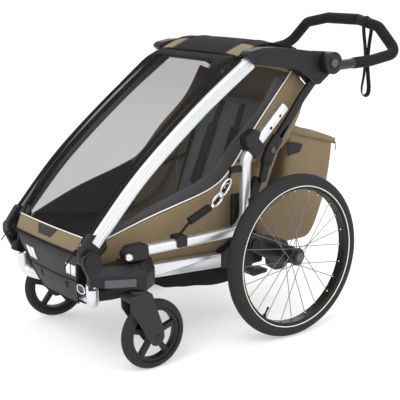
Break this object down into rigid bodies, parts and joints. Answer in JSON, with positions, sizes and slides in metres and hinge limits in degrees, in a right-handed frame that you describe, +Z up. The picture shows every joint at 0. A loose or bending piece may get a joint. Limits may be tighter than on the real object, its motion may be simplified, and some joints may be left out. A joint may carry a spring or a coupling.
{
  "type": "child bicycle trailer",
  "caption": "Child carrier on two spoked rear wheels and swivelling front casters, with a folding fabric-covered frame, turning push handle and stowed towing arm.",
  "frame": {"origin": "centre of the footprint box at ground level", "axes": "+X to the child's left, -Y to the front, +Z up"},
  "size_m": [0.706, 1.2338, 0.9405],
  "materials": {
    "black_plastic": "satin moulded plastic",
    "silver_tube": "satin anodised tube",
    "steel": "bright steel",
    "black_alloy": "black anodised",
    "grey_button": "light grey plastic",
    "grip_foam": "closed-cell foam",
    "tyre_rubber": "black tyre rubber",
    "caster_plastic": "black nylon",
    "brown_fabric": "coated brown fabric",
    "dark_fabric": "black woven fabric",
    "webbing_black": "black webbing",
    "mesh_cover": "dark see-through mesh",
    "window_mesh": "dark see-through mesh",
    "piping_white": "off-white piping",
    "reflector_grey": "reflective film"
  },
  "bodies": {
    "chassis": {"front_housings": "black_plastic", "chassis_pins": "steel", "base_rails": "silver_tube", "rear_nodes": "black_plastic", "cross_tube": "black_alloy", "bumper_tube": "silver_tube", "floor_tray": "dark_fabric", "front_panel": "dark_fabric", "reflectors": "reflector_grey", "side_panels": "brown_fabric", "seat_base": "dark_fabric", "seat_back": "dark_fabric", "webbing": "webbing_black", "cargo_tray": "brown_fabric", "cargo_bag": "brown_fabric", "hitch_clip": "black_plastic"},
    "folding_frame": {"pillars": "silver_tube", "frame_mouldings": "black_plastic", "frame_pins": "steel", "crossbars": "black_alloy", "roof": "brown_fabric", "front_cover": "mesh_cover", "cover_hem": "brown_fabric", "pull_tabs": "webbing_black", "window_piping": "piping_white", "side_windows": "window_mesh", "rear_fabric": "brown_fabric"},
    "handle": {"handlebar": "black_alloy", "grip": "grip_foam", "wrist_strap": "webbing_black", "handle_hubs": "black_plastic"},
    "towing_arm": {"hitch_tube": "silver_tube", "hitch_block": "black_plastic", "hitch_collar": "black_plastic", "hitch_steel": "steel", "tether_cord": "webbing_black", "tether_fittings": "webbing_black"},
    "brake": {"brake_pedal": "caster_plastic"},
    "rear_bar_left": {"rear_upright_left": "black_plastic"},
    "fold_release_left": {"fold_button_left": "grey_button"},
    "handle_release_left": {"hub_button_left": "grey_button"},
    "suspension_left": {"swing_arm_left": "black_alloy"},
    "rear_wheel_left": {"tyre_left": "tyre_rubber", "rim_left": "black_alloy", "spoked_hub_left": "steel"},
    "wheel_release_left": {"wheel_button_left": "grey_button"},
    "caster_swivel_left": {"caster_fork_left": "caster_plastic"},
    "caster_wheel_left": {"caster_tyre_left": "tyre_rubber", "caster_core_left": "caster_plastic"},
    "rear_bar_right": {"rear_upright_right": "black_plastic"},
    "fold_release_right": {"fold_button_right": "grey_button"},
    "handle_release_right": {"hub_button_right": "grey_button"},
    "suspension_right": {"swing_arm_right": "black_alloy"},
    "rear_wheel_right": {"tyre_right": "tyre_rubber", "rim_right": "black_alloy", "spoked_hub_right": "steel"},
    "wheel_release_right": {"wheel_button_right": "grey_button"},
    "caster_swivel_right": {"caster_fork_right": "caster_plastic"},
    "caster_wheel_right": {"caster_tyre_right": "tyre_rubber", "caster_core_right": "caster_plastic"}
  },
  "joints": [
    {"name": "frame_fold", "type": "hinge", "parent": "chassis", "child": "folding_frame", "pos_m": [0, -0.5616, 0.331], "axis": [-1, 0, 0], "range_deg": [0, 24], "deforming": ["seat_back", "webbing", "cargo_bag"]},
    {"name": "handle_turn", "type": "hinge", "parent": "folding_frame", "child": "handle", "pos_m": [0, 0.2944, 0.809], "axis": [1, 0, 0], "range_deg": [-30, 60]},
    {"name": "towing_arm_lift", "type": "slide", "parent": "chassis", "child": "towing_arm", "axis": [0, 0, 1], "range_m": [0, 0.3]},
    {"name": "brake_press", "type": "hinge", "parent": "chassis", "child": "brake", "pos_m": [0.15, 0.0314, 0.203], "axis": [-1, 0, 0], "range_deg": [0, 12]},
    {"name": "rear_bar_swing_left", "type": "hinge", "parent": "folding_frame", "child": "rear_bar_left", "pos_m": [0.229, 0.2524, 0.762], "axis": [-1, 0, 0], "range_deg": [0, 50]},
    {"name": "fold_release_press_left", "type": "slide", "parent": "rear_bar_left", "child": "fold_release_left", "axis": [-1, 0, 0], "range_m": [0, 0.002], "stiffness_N_per_m": 400},
    {"name": "handle_release_press_left", "type": "slide", "parent": "handle", "child": "handle_release_left", "axis": [-1, 0, 0], "range_m": [0, 0.0025], "stiffness_N_per_m": 400},
    {"name": "suspension_swing_left", "type": "hinge", "parent": "chassis", "child": "suspension_left", "pos_m": [0.25, -0.0076, 0.287], "axis": [1, 0, 0], "range_deg": [-1, 5], "stiffness_Nm_per_rad": 600},
    {"name": "wheel_spin_left", "type": "hinge", "parent": "suspension_left", "child": "rear_wheel_left", "pos_m": [0.324, 0.0914, 0.25], "axis": [1, 0, 0], "continuous": true},
    {"name": "wheel_release_press_left", "type": "slide", "parent": "rear_wheel_left", "child": "wheel_release_left", "axis": [-1, 0, 0], "range_m": [0, 0.003], "stiffness_N_per_m": 400},
    {"name": "caster_swivel_turn_left", "type": "hinge", "parent": "chassis", "child": "caster_swivel_left", "pos_m": [0.2757, -0.4376, 0.21], "axis": [0, 0, 1], "continuous": true},
    {"name": "caster_spin_left", "type": "hinge", "parent": "caster_swivel_left", "child": "caster_wheel_left", "pos_m": [0.27695, -0.39302, 0.1006], "axis": [0.9996, -0.0279, 0], "continuous": true},
    {"name": "rear_bar_swing_right", "type": "hinge", "parent": "folding_frame", "child": "rear_bar_right", "pos_m": [-0.229, 0.2524, 0.762], "axis": [-1, 0, 0], "range_deg": [0, 50]},
    {"name": "fold_release_press_right", "type": "slide", "parent": "rear_bar_right", "child": "fold_release_right", "axis": [1, 0, 0], "range_m": [0, 0.002], "stiffness_N_per_m": 400},
    {"name": "handle_release_press_right", "type": "slide", "parent": "handle", "child": "handle_release_right", "axis": [1, 0, 0], "range_m": [0, 0.0025], "stiffness_N_per_m": 400},
    {"name": "suspension_swing_right", "type": "hinge", "parent": "chassis", "child": "suspension_right", "pos_m": [-0.25, -0.0076, 0.287], "axis": [1, 0, 0], "range_deg": [-1, 5], "stiffness_Nm_per_rad": 600},
    {"name": "wheel_spin_right", "type": "hinge", "parent": "suspension_right", "child": "rear_wheel_right", "pos_m": [-0.324, 0.0914, 0.25], "axis": [1, 0, 0], "continuous": true},
    {"name": "wheel_release_press_right", "type": "slide", "parent": "rear_wheel_right", "child": "wheel_release_right", "axis": [1, 0, 0], "range_m": [0, 0.003], "stiffness_N_per_m": 400},
    {"name": "caster_swivel_turn_right", "type": "hinge", "parent": "chassis", "child": "caster_swivel_right", "pos_m": [-0.2757, -0.4376, 0.21], "axis": [0, 0, 1], "continuous": true},
    {"name": "caster_spin_right", "type": "hinge", "parent": "caster_swivel_right", "child": "caster_wheel_right", "pos_m": [-0.26711, -0.39383, 0.1006], "axis": [0.9813, -0.1925, 0], "continuous": true}
  ]
}
